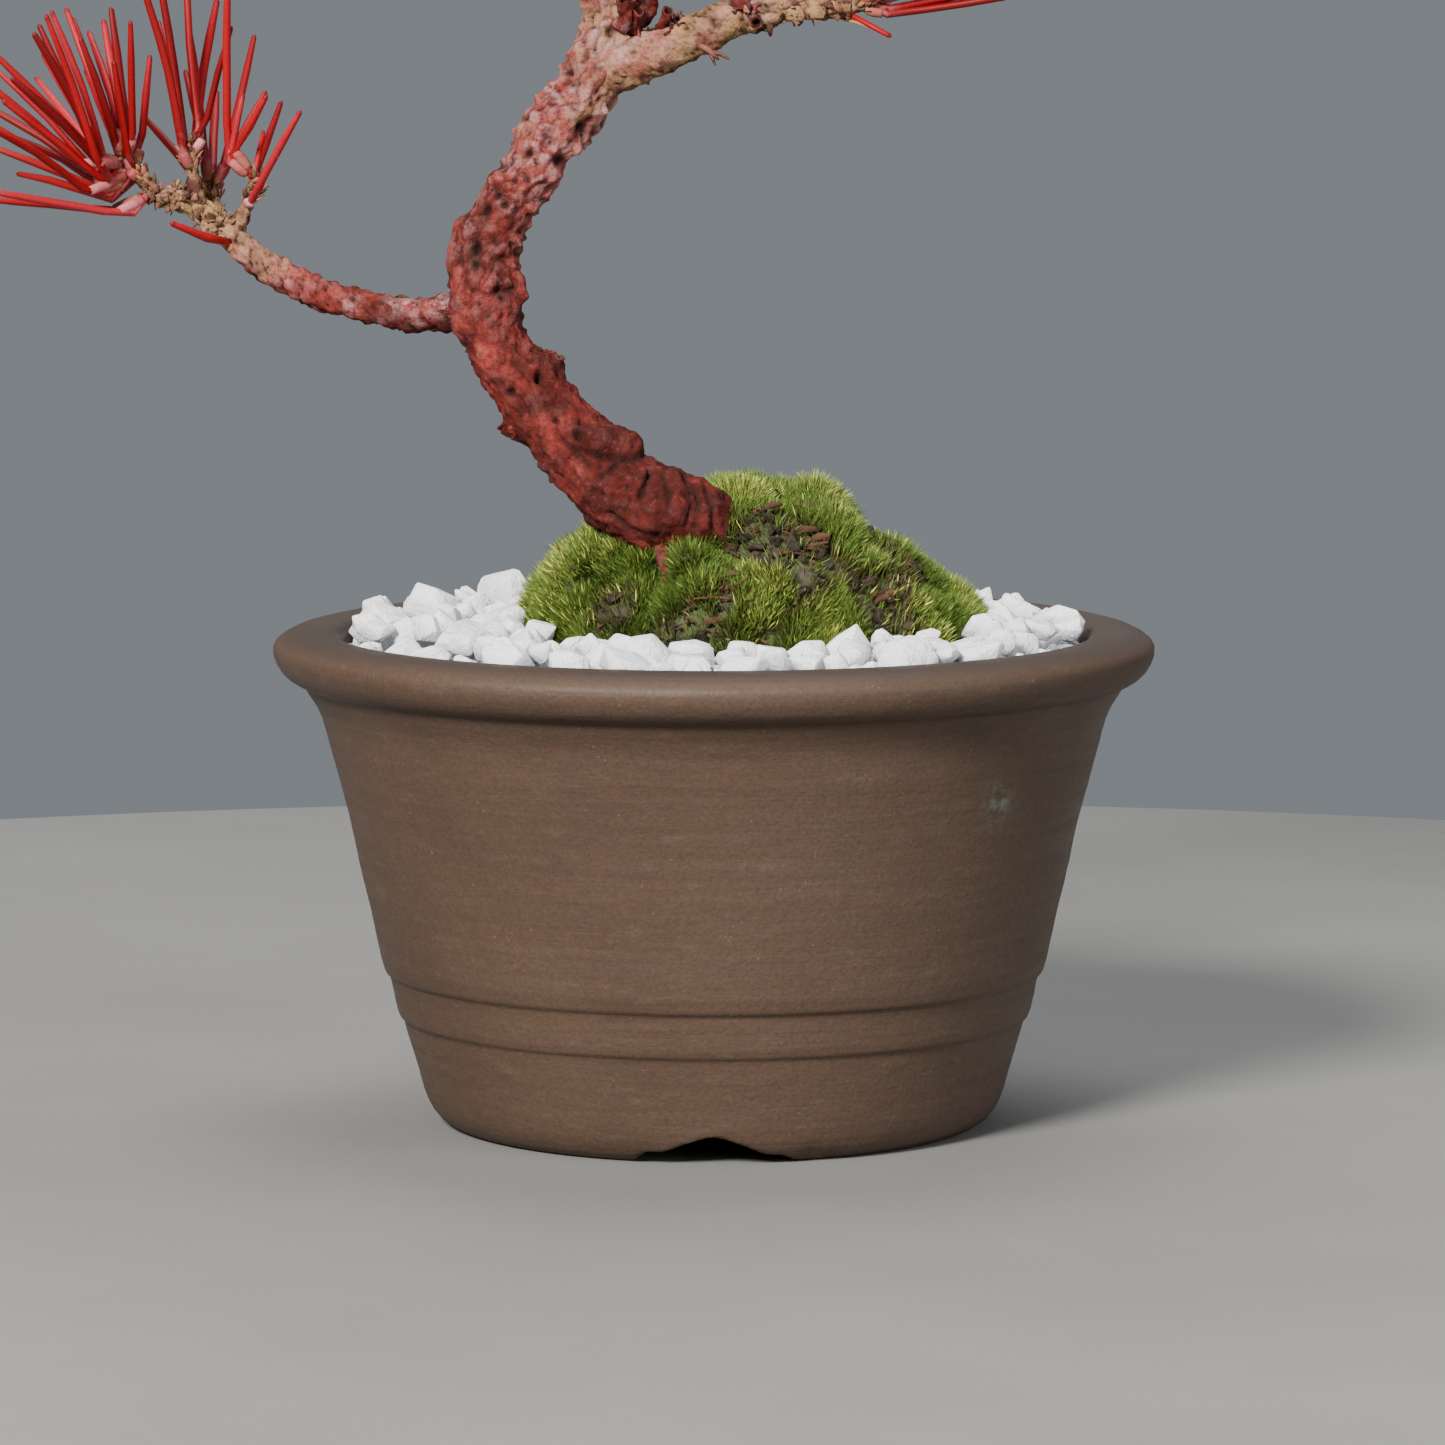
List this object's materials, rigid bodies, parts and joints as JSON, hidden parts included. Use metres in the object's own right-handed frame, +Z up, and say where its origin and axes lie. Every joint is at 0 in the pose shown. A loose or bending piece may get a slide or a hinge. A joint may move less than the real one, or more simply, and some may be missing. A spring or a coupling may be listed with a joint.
{
  "type": "potted pine bonsai",
  "caption": "Leaning black pine bonsai with red-dyed needles and painted bark, in a round unglazed clay pot topped with moss and white crushed stone.",
  "frame": {"origin": "centre of the pot's base, on the surface that the pot stands on", "axes": "+Z up, -Y towards the front of the tree as the picture shows it, +X to the right in that view"},
  "size_m": [0.2042, 0.12, 0.2401],
  "materials": {
    "unglazed_clay": "matte unglazed stoneware",
    "black_plastic": "matte",
    "wire": "dull wire",
    "soil": "damp granular soil",
    "white_stone": "crushed and dry",
    "moss": "soft living moss",
    "painted_bark": "rough bark under thin red paint",
    "dyed_needle": "satin, dyed red"
  },
  "bodies": {
    "root": {"pot": "unglazed_clay", "drain_screen": "black_plastic", "screen_clip": "wire", "soil": "soil", "gravel": "white_stone", "moss": "moss", "tree": "painted_bark", "needles_left_low_tip": "dyed_needle", "needles_left_low_inner": "dyed_needle", "needles_left_low_side": "dyed_needle", "needles_left_low_back": "dyed_needle", "needles_right_low_shoot": "dyed_needle", "needles_right_low_tip": "dyed_needle", "needles_right_low_front": "dyed_needle", "needles_right_low_back": "dyed_needle", "needles_left_middle_tip": "dyed_needle", "needles_left_middle_back": "dyed_needle", "needles_left_middle_front": "dyed_needle", "needles_back_tip": "dyed_needle", "needles_back_side": "dyed_needle", "needles_front_tip": "dyed_needle", "needles_front_side": "dyed_needle", "needles_right_middle_tip": "dyed_needle", "needles_right_middle_back": "dyed_needle", "needles_right_middle_front": "dyed_needle", "needles_left_top": "dyed_needle", "needles_apex_side": "dyed_needle", "needles_apex": "dyed_needle"}
  },
  "joints": []
}
